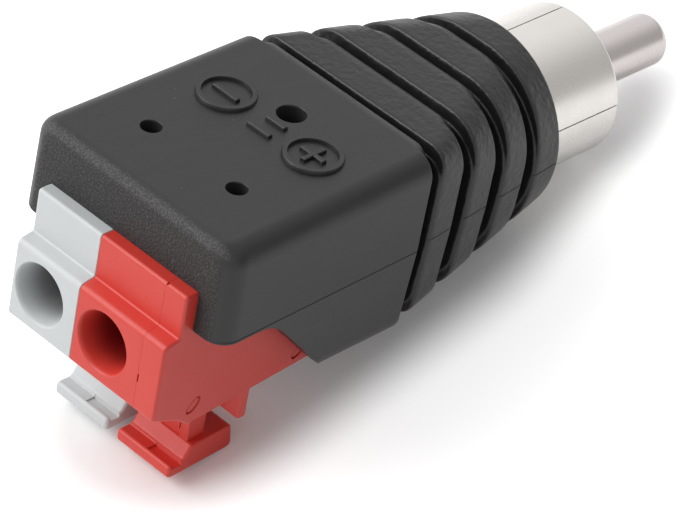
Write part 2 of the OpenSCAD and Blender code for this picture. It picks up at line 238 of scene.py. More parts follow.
def new_finish(name, constants):
    """A material with one Principled shader, and its coordinates in mm along the plug's own axes."""
    finish = bpy.data.materials.new(name)
    finish.use_nodes = True
    tree = finish.node_tree
    shader = tree.nodes["Principled BSDF"]
    for key, value in constants.items():
        shader.inputs[key].default_value = value
    spot = Shade(tree, tree.nodes.new("ShaderNodeTexCoord").outputs["Object"])
    values = {"Vector": spot, "Location": rear_point, "Rotation": (0, rest_pitch, 0), "Scale": (MM, MM, MM)}
    return finish, shader, spot.node("ShaderNodeMapping", {"vector_type": "TEXTURE"}, values)


def relief(height, shader):
    """Feeds a height in millimetres to the shader's normal."""
    height.node("ShaderNodeBump", {}, {"Strength": 1.0, "Distance": MM, "Height": height}).into(shader, "Normal")


def moulded_nylon(name, colour, deep, gloss, bore=None):
    """Satin moulded plastic: cloudy colour, flow marks and the fine grain of a spark-eroded mould.

    Inside a bore, which has a place (x, y, z), a reach and a colour at its end, the colour is painted darker towards
    that end as painted shade."""
    finish, shader, spot = new_finish(name, {"IOR": 1.53})
    cloud = spot.noise(0.45, 3.0)
    grain = spot.noise(11.0, 3.0, 0.65)
    flow = spot.node("ShaderNodeMapping", {}, {"Vector": spot, "Scale": (0.5, 2.2, 0.8)}).noise(1.0, 2.0)
    tone = (cloud * 0.55 + grain * 0.35).between(colour, deep)
    # painted shade: the wire entry's colour darkens towards its far end
    if bore:
        mouth, reach, inner = bore
        inside = spot.node("ShaderNodeVectorMath", {"operation": "SUBTRACT"}, {0: spot, 1: mouth})
        depth = spot.node("ShaderNodeSeparateXYZ", {}, {0: inside}, "X")
        off = spot.node("ShaderNodeVectorMath", {"operation": "MULTIPLY"}, {0: inside, 1: (0, 1, 1)})
        off = spot.node("ShaderNodeVectorMath", {"operation": "LENGTH"}, {0: off}, "Value")
        tone = (depth.ramp(0.0, reach) * (off < 1.79)).between(tone, inner)
    tone.into(shader, "Base Color")
    (gloss + cloud * 0.12 + flow * 0.10 + grain * 0.06).into(shader, "Roughness")
    relief(grain * 0.005 + flow * 0.012, shader)
    return finish


GREY = (0.597, 0.62, 0.624, 1)
GREY_DEEP = (0.54, 0.567, 0.572, 1)
RED = (0.665, 0.046, 0.030, 1)
RED_DEEP = (0.57, 0.033, 0.023, 1)
ENTRY_Z = -3.05
GREY_ENTRY = 3.65
RED_ENTRY = -1.35
BLOCK_REAR = -1.9
ENTRY_REACH = 1.9
# Colours painted at the far end of the wire entries: painted shade.
GREY_ENTRY_SHADE = (0.21, 0.217, 0.218, 1)
RED_ENTRY_SHADE = (0.21, 0.005, 0.004, 1)
grey_nylon = moulded_nylon(
    "grey_nylon", GREY, GREY_DEEP, 0.30, ((BLOCK_REAR, GREY_ENTRY, ENTRY_Z), ENTRY_REACH, GREY_ENTRY_SHADE))
red_nylon = moulded_nylon(
    "red_nylon", RED, RED_DEEP, 0.28, ((BLOCK_REAR, RED_ENTRY, ENTRY_Z), ENTRY_REACH, RED_ENTRY_SHADE))

BLOCK_SIDE = [(-0.86, 2.3, 0.22), (-0.86, -0.427, 0.14), (BLOCK_REAR, -0.607, 0.4), (BLOCK_REAR, -5.5, 0.24),
              (0, -6.22, 0.5), (0.9, -6.85, 0.35), (10, -6.04, 0.22), (10, 2.3, 0.22)]
ENTRY_MOUTH = [(-2.3, 2.12), (-1.93, 1.98), (-1.87, 1.88), (-1.78, 1.81), (-1.6, 1.75), (0.2, 1.32), (0.45, 1.3),
               (1.5, 1.3)]
ROOM_REAR = 1.4
ROOM_WALL = 1.75
block_outline = rounded(BLOCK_SIDE)


def terminal_module(name, y0, y1, entry_y, edge0, edge1):
    """One module between y0 and y1, open to the side at y0."""
    module = slab(name, block_outline, y0, y1, edge0, edge1)
    wall = entry_y + ROOM_WALL
    return work(module, [
        lathe("entry", ENTRY_MOUTH, entry_y, ENTRY_Z),
        block("room", (ROOM_REAR, y0 - 1, -4.7), (9.1, wall, 1.4)),
        block("lower_room", (ROOM_REAR, y0 - 1, -5.6), (8.3, wall, -4.6)),
        block("stem_slot", (3.38, entry_y - 2.47, -9.05), (5.72, entry_y + 1.05, -4.05)),
        block("riser_slot", (8.48, entry_y - 1.22, 1.3), (9.02, entry_y + 1.22, 3.3)),
    ])


grey_body = settle(terminal_module("grey_module", 0.82, 5.8, GREY_ENTRY, 0.06, 0.16), grey_nylon)
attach(grey_body, "plug")
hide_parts("grey_housing")

PEGS = [(1.1, -5.6), (8.9, -5.2)]
PEG_R = 0.38
PEG_OVAL = 0.13


def cross_pin(name, x, z, profile):
    """A slanting oval pin along y at x and z, from pairs of y and mean radius."""
    turns = [math.tau * k / 32 for k in range(32)]
    return loft(name, [[(x + r * math.cos(q) + PEG_OVAL * math.sin(q), y, z + r * math.sin(q) + PEG_OVAL * math.cos(q))
                        for q in turns] for y, r in profile])


red_body = terminal_module("red_module", -4.2, 0.8, RED_ENTRY, 0.015, 0.06)
peg_profile = [(-5.77, PEG_R - 0.08), (-5.74, PEG_R - 0.02), (-5.68, PEG_R), (-3.9, PEG_R)]
work(red_body, [cross_pin("peg", x, z, peg_profile) for x, z in PEGS], "UNION")
settle(red_body, red_nylon)
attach(red_body, "plug")
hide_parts("red_housing")

# End plate: red nylon plate that closes the red module's open side, pressed on two pegs whose ends
# show on its outer face. A small lug hangs below it beside the push button.
LUG_SIDE = [(4.85, -8.27, 0.2), (5.5, -8.27, 0.2), (5.5, -5.4, 0.2), (4.85, -5.4, 0.2)]
PEG_HOLE = [(-6.5, 0.52), (-5.84, 0.52), (-5.76, 0.45), (-5.66, 0.425), (-4, 0.425)]
plate = slab("red_end_plate", block_outline, -5.8, -4.205, 0.17, 0.015)
work(plate, [slab("lug", rounded(LUG_SIDE), -5.79, -4.4, 0.12, 0.1)], "UNION")
work(plate, [cross_pin("peg_hole", x, z, PEG_HOLE) for x, z in PEGS])
work(plate, [block("gate_slot", (-2.2, -4.3, -3.72), (-1.72, -4.1, -3.22)),
             block("gate_nick", (-1.2, -4.34, 2.2), (-0.62, -4.1, 2.6))])
work(plate, [cross_pin("ejector_dot", -0.25, -5.15, [(-5.80, 0.14), (-5.78, 0.17), (-5.5, 0.17)])], "UNION")
settle(plate, red_nylon)
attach(plate, "plug")
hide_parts("end_plate")

# Push buttons: one for each terminal, moulded in its colour. A foot with a stepped lip is pressed
# with a finger; its stem slides in the floor's slot and a post on one side of it lifts the clamp.
FOOT = [(1.95, -12.25, 0.28), (6.76, -11.94, 0.35), (6.5, -10.38, 0.24), (3.5, -10.55, 0.24), (2.98, -11.42, 0.3),
        (1.95, -11.42, 0.23)]
FOOT_W = 4.2
FOOT_OFF = 2.8
LIP_END = 2.16


def upright(name, x0, x1, y0, y1, z0, z1, edge=0.08):
    """An upright bar with softened edges."""
    corners = [(x0, z0, edge + 0.03), (x1, z0, edge + 0.03), (x1, z1, edge + 0.03), (x0, z1, edge + 0.03)]
    return slab(name, rounded(corners, 3), y0, y1, edge, edge, 3)


def trough(y0, y1, floor_z):
    """The dip behind the lip, between y0 and y1."""
    side = [(LIP_END - 0.04, -11.2), (LIP_END + 0.03, floor_z), (2.86, floor_z), (3.02, -11.2)]
    return loft("trough", [[(x, y, z) for x, z in side] for y in (y0, y1)])


def push_button(name, entry_y):
    """The foot with its lip, and the stem, post and finger that stand on it."""
    y0 = entry_y - FOOT_OFF
    button = slab(name, rounded(FOOT), y0, y0 + FOOT_W, 0.2, 0.2)
    work(button, [trough(y0 - 1, y0 + 2.05, -11.6), trough(y0 + 2.0, y0 + 6, -11.5)])
    return work(button, [
        upright("stem", 3.6, 4.75, y0 + 0.47, y0 + 3.73, -11.1, -6.8),
        upright("post", 3.5, 4.77, y0 + 0.45, y0 + 1.1, -11.2, -6.75),
        upright("rib", 3.51, 4.1, y0 + 1.16, y0 + 1.6, -10.15, -6.85, 0.04),
        upright("head", 3.62, 5.6, y0 + 0.49, y0 + 3.65, -7.1, -6.6),
        upright("finger", 4.4, 5.4, y0 + 0.51, y0 + 1.09, -7.0, -4.35),
    ], "UNION")


for name, entry_y, body, node, slot, finish in (
        ("grey_push_button", GREY_ENTRY, "grey_push", "grey_button", "grey_plastic", grey_nylon),
        ("red_push_button", RED_ENTRY, "red_push", "red_button", "red_plastic", red_nylon)):
    button = settle(push_button(name, entry_y), finish)
    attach(button, body)
    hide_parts(node)

# Clamp springs and current bars: rolled spring steel leaves and tin-plated brass strips, stamped and
# bent, hidden in the rooms. Their solids are right as they are and only get their finishes.


def strip_metal(name, colour, dull, rough, lay):
    """Rolled or plated strip: fine lines along the rolling direction and a faint cloudy tarnish."""
    finish, shader, spot = new_finish(name, {"Metallic": 1.0})
    lines = spot.node("ShaderNodeMapping", {}, {"Vector": spot, "Scale": lay}).noise(1.0, 3.0)
    cloud = spot.noise(0.8, 3.0)
    (cloud * 0.8).between(colour, dull).into(shader, "Base Color")
    (rough + lines * 0.12 + cloud * 0.1).into(shader, "Roughness")
    relief(lines * 0.004, shader)
    return finish


spring_steel = strip_metal("spring_steel", (0.60, 0.60, 0.62, 1), (0.42, 0.42, 0.44, 1), 0.24, (0.6, 14, 0.6))
tin_plate = strip_metal("tin_plate", (0.74, 0.74, 0.73, 1), (0.58, 0.58, 0.57, 1), 0.3, (1.5, 6, 1.5))
for pole in ("grey", "red"):
    frame["nodes"][pole + "_spring"].material_slots[0].material = spring_steel
    frame["nodes"][pole + "_contact"].material_slots[0].material = tin_plate

# Centre pin: turned brass with a rounded tip, nickel plated. It is pressed through a natural nylon
# bush, which centres it in the shell, and its rear end is a solder cup.
BUSH_REAR = 24.93
BUSH_FRONT = 27.63
BUSH_R = 4.13
PIN_TIP = 42.87
PIN_R = 1.6
TIP_R = 0.7


def nickel_plate(name, colour, dull, rough):
    """Bright nickel over turned or drawn metal: fine rings round the axis and a soft bloom."""
    finish, shader, spot = new_finish(name, {"Metallic": 1.0})
    rings = spot.node("ShaderNodeMapping", {}, {"Vector": spot, "Scale": (16, 0.5, 0.5)}).noise(1.0, 2.0)
    bloom = spot.noise(0.5, 4.0, 0.6)
    pits = spot.noise(9.0, 2.0, 0.7)
    (bloom * 0.9).between(colour, dull).into(shader, "Base Color")
    (rough + bloom * 0.1 + rings * 0.06).into(shader, "Roughness")
    relief(rings * 0.0016 + pits * 0.001, shader)
    return finish


shell_nickel = nickel_plate("shell_nickel", (0.79, 0.765, 0.735, 1), (0.73, 0.705, 0.675, 1), 0.20)
pin_nickel = nickel_plate("pin_nickel", (0.67, 0.62, 0.61, 1), (0.61, 0.565, 0.555, 1), 0.18)
SOLDER_CUP = [(21.5, 0.55), (22.23, 0.52), (22.33, 0.48), (23.83, 0.48), (24.0, 0.2)]
pin_profile = [(22.23, 0.87), (22.3, 0.95), (BUSH_REAR, 0.95), (BUSH_REAR, 1.4), (BUSH_FRONT + 0.02, 1.4),
               (BUSH_FRONT + 0.02, PIN_R - 0.05), (BUSH_FRONT + 0.07, PIN_R)]
for k in range(13):
    q = math.radians(87 * k / 12)
    pin_profile.append((PIN_TIP - TIP_R + TIP_R * math.sin(q), PIN_R - TIP_R + TIP_R * math.cos(q)))
pin = lathe("turned_pin", pin_profile, segments=96)
work(pin, [lathe("solder_cup", SOLDER_CUP, segments=32)])
settle(pin, pin_nickel)
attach(pin, "plug")
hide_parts("centre_pin")

bush_nylon = moulded_nylon("bush_nylon", (0.80, 0.79, 0.75, 1), (0.74, 0.72, 0.67, 1), 0.36)
bush = lathe("pin_bush", [(BUSH_REAR, BUSH_R - 0.1), (BUSH_REAR + 0.1, BUSH_R), (27.45, BUSH_R), (27.6, 4.0),
                          (BUSH_FRONT, 3.9)], segments=96)
work(bush, [lathe("bore", [(24, 1.42), (27.5, 1.42), (27.6, 1.5), (28, 1.9)])])
settle(bush, bush_nylon)
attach(bush, "plug")
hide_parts("insulator")

# Ground shell: brass tube drawn thin and nickel plated, slit lengthwise from its front so that it
# grips the jack. A solder lug is left standing at its rear, inside the moulding.
SHELL_R = 4.55
SHELL_IN = 4.15
SHELL_REAR = 24.83
SHELL_FRONT = 34.87
SLIT_START = 29.07
SLIT_TURN = 81.0
SLIT_W = 0.08
SLITS = 4
shell_rings = [(SHELL_REAR, SHELL_IN), (SHELL_REAR, SHELL_R - 0.04), (SHELL_REAR + 0.04, SHELL_R)]
for k in range(9):
    q = math.radians(90 * k / 8)
    shell_rings.append((SHELL_FRONT - 0.2 + 0.2 * math.sin(q), SHELL_R - 0.2 + 0.2 * math.cos(q)))
for k in range(1, 9):
    q = math.radians(90 * k / 8)
    shell_rings.append((SHELL_FRONT - 0.16 + 0.16 * math.cos(q), SHELL_IN + 0.16 - 0.16 * math.sin(q)))


def tube(name, profile, segments):
    """A ring-shaped solid turned about x from a closed profile of x and radius."""
    count = len(profile)
    points = []
    faces = []
    for s in range(segments):
        q = math.tau * s / segments
        points += [(x, r * math.cos(q), r * math.sin(q)) for x, r in profile]
        a, b = s * count, (s + 1) % segments * count
        faces += [(a + i, a + (i + 1) % count, b + (i + 1) % count, b + i) for i in range(count)]
    return skin(name, points, faces)


def slit_tree(finish):
    """Cuts equal slits round a tube that lies along x, and gives it its finish."""
    tree = bpy.data.node_groups.new("shell_slits", "GeometryNodeTree")
    ports = {"Tube": "Geometry", "Slits": "Int", "First turn": "Float", "Slit size": "Vector", "Slit middle": "Vector"}
    for name, kind in ports.items():
        tree.interface.new_socket(name, in_out="INPUT", socket_type="NodeSocket" + kind)
    tree.interface.new_socket("Shell", in_out="OUTPUT", socket_type="NodeSocketGeometry")
    start = tree.nodes.new("NodeGroupInput")
    given = {name: Shade(tree, start.outputs[name]) for name in ports}
    add = given["Tube"].node
    cutter = add("GeometryNodeMeshCube", {}, {"Size": given["Slit size"]}, "Mesh")
    cutter = add("GeometryNodeTransform", {}, {"Geometry": cutter, "Translation": given["Slit middle"]})
    places = add("GeometryNodePoints", {}, {"Count": given["Slits"]})
    turn = given["First turn"] + add("GeometryNodeInputIndex", {}, {}) * add(
        "ShaderNodeMath", {"operation": "DIVIDE"}, {0: math.tau, 1: given["Slits"]})
    spin = add("ShaderNodeCombineXYZ", {}, {"X": turn})
    cutters = add("GeometryNodeInstanceOnPoints", {}, {"Points": places, "Instance": cutter, "Rotation": spin})
    cutters = add("GeometryNodeRealizeInstances", {}, {"Geometry": cutters})
    cut = add("GeometryNodeMeshBoolean", {"operation": "DIFFERENCE", "solver": "EXACT"},
              {"Mesh 1": given["Tube"], "Mesh 2": cutters})
    whole = add("GeometryNodeRealizeInstances", {}, {"Geometry": cut})
    done = add("GeometryNodeSetMaterial", {}, {"Geometry": whole, "Material": finish})
    done.into(tree.nodes.new("NodeGroupOutput"), "Shell")
    return tree


def grown(piece, tree, values):
    """Runs a Geometry Nodes tree on a piece, with its named inputs set, and keeps the plain mesh."""
    step = piece.modifiers.new(tree.name, "NODES")
    step.node_group = tree
    for item in tree.interface.items_tree:
        if item.in_out == "INPUT" and item.name in values:
            step[item.identifier] = values[item.name]
    plain_mesh(piece)
    return piece


shell = tube("drawn_shell", shell_rings, 128)
lug = block("lug", (21.23, -1, 3.6), (25.2, 1, 5.6))
lug_bend = tube("lug_bend", [(21.0, SHELL_IN), (21.0, SHELL_R), (25.1, SHELL_R), (25.1, SHELL_IN)], 128)
work(lug, [lug_bend], "INTERSECT")
work(shell, [lug], "UNION")
slit_long = SHELL_FRONT + 0.3 - SLIT_START
grown(shell, slit_tree(shell_nickel), {
    "Slits": SLITS, "First turn": math.radians(SLIT_TURN), "Slit size": (slit_long, 1.6, SLIT_W),
    "Slit middle": (SLIT_START + slit_long / 2, (SHELL_R + SHELL_IN) / 2, 0)})
settle(shell, shell_nickel)
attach(shell, "plug")
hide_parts("rca_shell")

# Link wires: short stranded copper wires from the current bars' pins to the pin's cup and to the
# shell's lug, soldered at both ends. Their PVC jackets keep the solids of the frame.
STRAND_R = 0.13


def wire_tree(finish):
    """Twists strands round a path that swings from one end to the other, and gives them their finish."""
    tree = bpy.data.node_groups.new("link_wire", "GeometryNodeTree")
    ports = {"Wire": "Geometry", "Strands": "Int", "Strand radius": "Float", "Twists": "Float", "Start": "Vector",
             "End": "Vector", "Swing from": "Float", "Swing to": "Float"}
    for name, kind in ports.items():
        tree.interface.new_socket(name, in_out="INPUT", socket_type="NodeSocket" + kind)
    tree.interface.new_socket("Strands", in_out="OUTPUT", socket_type="NodeSocketGeometry")
    start = tree.nodes.new("NodeGroupInput")
    given = {name: Shade(tree, start.outputs[name]) for name in ports}
    add = given["Start"].node
    line = add("GeometryNodeCurvePrimitiveLine", {}, {"Start": given["Start"], "End": given["End"]})
    line = add("GeometryNodeResampleCurve", {"mode": "COUNT"}, {"Curve": line, "Count": 40})
    many = tree.nodes.new("GeometryNodeDuplicateElements")
    many.domain = "SPLINE"
    line.into(many, "Geometry")
    given["Strands"].into(many, "Amount")
    strand = Shade(tree, many.outputs["Duplicate Index"])
    along = add("GeometryNodeSplineParameter", {}, {}, "Factor")
    where = add("GeometryNodeInputPosition", {}, {})
    x = add("ShaderNodeSeparateXYZ", {}, {0: where}, "X")
    swing = x.ramp(given["Swing from"], given["Swing to"])
    swung = add("ShaderNodeMix", {"data_type": "VECTOR"}, {0: swing, 4: given["Start"], 5: given["End"]}, 1)
    turn = given["Twists"] * along * math.tau + strand * (math.tau / 6)
    out = given["Strand radius"] * 1.98 * (strand > 0.5)
    sideways = out * add("ShaderNodeMath", {"operation": "COSINE"}, {0: turn})
    upwards = out * add("ShaderNodeMath", {"operation": "SINE"}, {0: turn})
    y = add("ShaderNodeSeparateXYZ", {}, {0: swung}, "Y") + sideways
    z = add("ShaderNodeSeparateXYZ", {}, {0: swung}, "Z") + upwards
    path = add("ShaderNodeCombineXYZ", {}, {"X": x, "Y": y, "Z": z})
    laid = add("GeometryNodeSetPosition", {}, {"Geometry": Shade(tree, many.outputs["Geometry"]), "Position": path})
    ring = add("GeometryNodeCurvePrimitiveCircle", {}, {"Resolution": 8, "Radius": given["Strand radius"]})
    body = add("GeometryNodeCurveToMesh", {}, {"Curve": laid, "Profile Curve": ring, "Fill Caps": True})
    whole = add("GeometryNodeRealizeInstances", {}, {"Geometry": body})
    done = add("GeometryNodeSetMaterial", {}, {"Geometry": whole, "Material": finish})
    done.into(tree.nodes.new("NodeGroupOutput"), "Strands")
    return tree


copper = strip_metal("wire_copper", (0.72, 0.40, 0.24, 1), (0.50, 0.26, 0.15, 1), 0.28, (8, 1, 1))
wire_nodes = wire_tree(copper)
for name, node, start, end, swing in (
        ("ground_strands", "ground_wire", (9.04, GREY_ENTRY, 3.6), (23.6, 0, 3.7), (11.6, 20.03)),
        ("signal_strands", "signal_wire", (9.04, RED_ENTRY, 3.6), (23.4, 0, 0), (11.6, 21.03))):
    wire = grown(skin(name, [], []), wire_nodes, {
        "Strands": 7, "Strand radius": STRAND_R, "Twists": 2.0, "Start": start, "End": end,
        "Swing from": swing[0], "Swing to": swing[1]})
    settle(wire, copper, 60)
    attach(wire, "plug")
    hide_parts(node)


def soft_jacket(name, colour, deep):
    """Extruded PVC jacket: faint lengthwise draw lines and a waxy bloom."""
    finish, shader, spot = new_finish(name, {"IOR": 1.5})
    lines = spot.node("ShaderNodeMapping", {}, {"Vector": spot, "Scale": (0.4, 8, 8)}).noise(1.0, 2.0)
    bloom = spot.noise(1.1, 3.0)
    bloom.between(colour, deep).into(shader, "Base Color")
    (0.38 + bloom * 0.16).into(shader, "Roughness")
    relief(lines * 0.006, shader)
    return finish


frame["nodes"]["ground_jacket"].material_slots[0].material = soft_jacket(
    "black_jacket", (0.03, 0.03, 0.031, 1), (0.045, 0.045, 0.046, 1))
frame["nodes"]["signal_jacket"].material_slots[0].material = soft_jacket(
    "red_jacket", (0.46, 0.035, 0.028, 1), (0.36, 0.025, 0.02, 1))

# Moulding: black flexible PVC moulded as one piece over the terminals, the wires and the plug's rear.
# A rounded box with a fine parting line runs into a round collar under four grooves; polarity signs
# stand out of its top, beside the holes that the mould's support pins left.
BOX_W = 15.85
FRONT_W = 15.35
TOP_H = 5.718
FRONT_H = 5.93
BELLY_DROP = 5.92
DRAFT = 0.12
MIDDLE_DRAFT = 0.16
LOWER_DRAFT = 0.45
EDGE_R = 1.3
REAR_R = 0.65
BOX_END = 15.95
GROOVE_FIRST = 15.2
GROOVE_PITCH = 3.21
GROOVES = 4
RIB_STEP = 0.24
COLLAR_FRONT = 28.35
COLLAR_R = 5.93
COLLAR_EDGE = 0.25
PARTING_W = 0.055
PARTING_D = 0.05
GROOVE = [
    (-0.1, 0, 0), (-0.03, 0.004, 0), (0, 0.02, 0), (0.03, 0.08, 0.002), (0.055, 0.22, 0.003), (0.085, 0.5, 0.005),
    (0.13, 0.82, 0.007), (0.2, 1.02, 0.015), (0.3, 1.14, 0.03), (0.42, 1.19, 0.062), (0.58, 1.2, 0.122),
    (0.7, 1.2, 0.197), (0.79, 1.2, 0.289), (0.86, 1.2, 0.42), (0.91, 1.2, 0.572), (0.96, 1.18, 0.67), (1, 1.16, 0.71),
    (1.06, 1.05, 0.745), (1.1, 0.9, 0.76), (1.12, 0.74, 0.756), (1.132, 0.6, 0.754), (1.143, 0.46, 0.751),
    (1.155, 0.33, 0.749), (1.17, 0.235, 0.746), (1.19, 0.175, 0.742), (1.22, 0.135, 0.708), (1.25, 0.112, 0.66),
    (1.275, 0.094, 0.5), (1.29, 0.086, 0.34), (1.305, 0.078, 0.2), (1.325, 0.067, 0.1), (1.36, 0.053, 0.04),
    (1.42, 0.03, 0.01), (1.54, 0.009, 0), (1.7, 0, 0),
]


def moulding_ring(x, side_in, top_in):
    """The moulding's section at x, drawn in at its sides and at its top and bottom."""
    share = min(1, max(0, (x - BOX_END) / (COLLAR_FRONT - COLLAR_EDGE - BOX_END)))
    back = min(1, max(0, x / BOX_END))
    step = RIB_STEP * (1 - share) if x > BOX_END else 0

    def mix(a, b, t):
        return a + (b - a) * t

    wide = mix(mix(BOX_W, FRONT_W, back) / 2, COLLAR_R, share) - side_in - step
    half = wide - MIDDLE_DRAFT * back * (1 - share)
    high = mix(mix(TOP_H, FRONT_H, back), COLLAR_R, share) - top_in - step
    low = mix(BELLY_DROP, COLLAR_R, share) - top_in - step
    slim = wide - DRAFT * (1 - share)
    slim_low = wide - LOWER_DRAFT * (1 - share)
    radius = max(0.15, mix(EDGE_R - side_in * 0.3, COLLAR_R - side_in, share) - step)
    ring = [(x, half - PARTING_D, 0), (x, half, PARTING_W)]
    skip = 2.0 * share
    for first, cy, cz in ((0, slim - radius, high - radius), (90, radius - slim, high - radius),
                          (180, radius - slim_low, radius - low), (270, slim_low - radius, radius - low)):
        for k in range(17):
            q = math.radians(first + skip + (90 - 2 * skip) * k / 16)
            ring.append((x, cy + radius * math.cos(q), cz + radius * math.sin(q)))
        if first == 90:
            ring += [(x, -half, PARTING_W), (x, PARTING_D - half, 0), (x, -half, -PARTING_W)]
    return ring + [(x, half, -PARTING_W)]


def round_end(x, side_r, top_r, way, steps):
    """Rings over a rounded end."""

    def inset(depth, r):
        return r - math.sqrt(r * r - (r - depth) ** 2) if depth < r else 0

    rings = []
    for k in range(steps + 1):
        depth = side_r * (1 - math.cos(math.radians(90 * k / steps)))
        rings.append(moulding_ring(x + way * depth, inset(depth, side_r), inset(depth, top_r)))
    return rings[::way]


moulding_rings = round_end(0, EDGE_R, REAR_R, 1, 10)
moulding_rings += [moulding_ring(x, 0, 0) for x in (3.0, 6.0, 9.0, 12.0, 14.2)]
for groove in range(GROOVES):
    start = GROOVE_FIRST + groove * GROOVE_PITCH
    moulding_rings += [moulding_ring(start + s, side_in, top_in) for s, side_in, top_in in GROOVE]
moulding_rings += round_end(COLLAR_FRONT, COLLAR_EDGE, COLLAR_EDGE, -1, 6)
moulding = loft("black_moulding", moulding_rings)


def top_at(x):
    """Height of the box's top face at x."""
    return TOP_H + (FRONT_H - TOP_H) * x / BOX_END


SIGN_H = 0.2
SIGN_W = 0.36
SIGN_R = 1.73


def upright_turned(name, x, y, z, profile, segments=64):
    """A solid turned about an upright line at x and y, from pairs of height and radius."""
    turns = [math.tau * k / segments for k in range(segments)]
    return loft(name, [[(x + r * math.cos(q), y + r * math.sin(q), z + h) for q in turns] for h, r in profile])


def sign_ring(x, y, outer):
    """A raised ring on the top face, with slightly sloping flanks."""
    z = top_at(x)
    inner = outer - SIGN_W
    ring = upright_turned("sign", x, y, z, [
        (-0.2, outer + 0.03), (0, outer), (SIGN_H - 0.04, outer - 0.03), (SIGN_H, outer - 0.07)])
    hole = upright_turned("inner", x, y, z, [
        (-0.4, inner - 0.03), (0, inner), (SIGN_H - 0.04, inner + 0.03), (SIGN_H + 0.1, inner + 0.09)])
    return work(ring, [hole])


def sign_bar(x0, y0, x1, y1, width=0.34):
    """A raised bar on the top face between two points."""
    run = Vector((x1 - x0, y1 - y0)).normalized()
    side = Vector((-run.y, run.x))
    rings = []
    for h, grow in ((-0.2, 0.02), (SIGN_H - 0.04, -0.01), (SIGN_H, -0.05)):
        half = width / 2 + grow
        a = Vector((x0, y0)) - run * grow
        b = Vector((x1, y1)) + run * grow
        corners = [a - side * half, b - side * half, b + side * half, a + side * half]
        rings.append([(p.x, p.y, top_at(p.x) + h) for p in corners])
    return loft("sign", rings)


work(moulding, [
    sign_ring(10.0, 3.33, SIGN_R), sign_bar(9.97, 2.4, 9.97, 4.26),
    sign_ring(9.92, -3.47, SIGN_R), sign_bar(9.92, -4.32, 9.92, -2.6), sign_bar(9.1, -3.47, 10.78, -3.47),
    sign_bar(9.12, -1.0, 9.12, 0.68), sign_bar(10.32, -0.95, 10.32, 0.45),
], "UNION")

SKIRT_START = 4.1
SKIRT_Z = -0.15
SKIRT_RUN = 0.97
SKIRT_TURN = 1.1
skirt = [(-1, SKIRT_Z)]
for k in range(13):
    t = k / 12
    skirt.append((SKIRT_START + SKIRT_TURN * (t * t * SKIRT_RUN - (1 - t) ** 2), SKIRT_Z - SKIRT_TURN * t * t))
skirt += [(SKIRT_START + (BELLY_DROP + 1 + SKIRT_Z) * SKIRT_RUN, -BELLY_DROP - 1), (-1, -BELLY_DROP - 1)]

PIN_HOLES = [(4.43, -3.32, 1.17, 3.3), (4.46, 3.34, 1.17, 3.3), (11.72, 0.02, 1.64, 2.3)]


def drilled(x, y, d, deep):
    """A support pin's hole in the top face, with a mouth that flares slightly."""
    r = d / 2
    profile = [(-deep, r * 0.94), (-0.12, r), (-0.03, r + 0.02), (0.05, r + 0.08)]
    return upright_turned("hole", x, y, top_at(x), profile, 48)


work(moulding, [
    loft("skirt", [[(x, y, z) for x, z in skirt] for y in (-9, 9)]),
    block("seat", (-1, -5.82, -7), (10.02, 5.82, 2.32)),
    lathe("shell_seat", [(24.81, 4.57), (28.6, 4.57), (28.9, 4.57)], segments=96),
] + [drilled(*hole) for hole in PIN_HOLES])

black_pvc, shader, spot = new_finish("black_pvc", {"IOR": 1.5})
axis_x = spot.node("ShaderNodeSeparateXYZ", {}, {0: spot}, "X")
rear = 1 - axis_x.ramp(0.0, 0.16)
fine = spot.noise(13.0, 3.0, 0.6)
coarse = spot.noise(5.5, 5.0, 0.75)
flow = spot.node("ShaderNodeMapping", {}, {"Vector": spot, "Scale": (0.35, 1.1, 0.9)}).noise(1.0, 3.0)
cells = {"Vector": spot, "Scale": 1.5}
speck_near = spot.node("ShaderNodeTexVoronoi", {}, cells, "Distance") < 0.045
speck_draw = spot.node("ShaderNodeTexVoronoi", {}, cells, "Color")
speck_kept = spot.node("ShaderNodeSeparateColor", {}, {0: speck_draw}, 0) > 0.86
dust = speck_near * speck_kept
grain = spot.noise(9.0, 2.0, 0.6)
# Small bright specks painted on the rear face: painted glints.
painted_glint = rear * spot.noise(14.0, 1.0).ramp(0.69, 0.78)
height = spot.node("ShaderNodeSeparateXYZ", {}, {0: spot}, "Z")
# A lighter band painted along the rounded rear top edge, broken up by grain: a painted highlight. Its rougher finish
# and bumps are the edge's own.
brow = height.ramp(4.95, 5.4) * (1 - axis_x.ramp(0.2, 0.65))
eroded = rear.math("MAXIMUM", rear, brow * 0.8)
tone = (flow * 0.6 + fine * 0.4).between((0.0065, 0.0064, 0.0067, 1), (0.0135, 0.0132, 0.0137, 1))
# The black's colour: darker and lighter grain on the rear face, then the painted highlight along the rear top edge,
# painted glints and dust.
grain_and_painted_highlights = (rear * coarse.ramp(0.35, 0.60)).between(tone, (0.003, 0.0024, 0.0024, 1))
grain_and_painted_highlights = (rear * grain.ramp(0.47, 0.70)).between(grain_and_painted_highlights, (0.064, 0.057, 0.056, 1))
grain_and_painted_highlights = (brow * (0.15 + grain.ramp(0.38, 0.64) * 0.85)).between(grain_and_painted_highlights, (0.074, 0.072, 0.073, 1))
grain_and_painted_highlights = painted_glint.between(grain_and_painted_highlights, (0.22, 0.215, 0.21, 1))
grain_and_painted_highlights = (dust * 0.7).between(grain_and_painted_highlights, (0.30, 0.29, 0.28, 1))
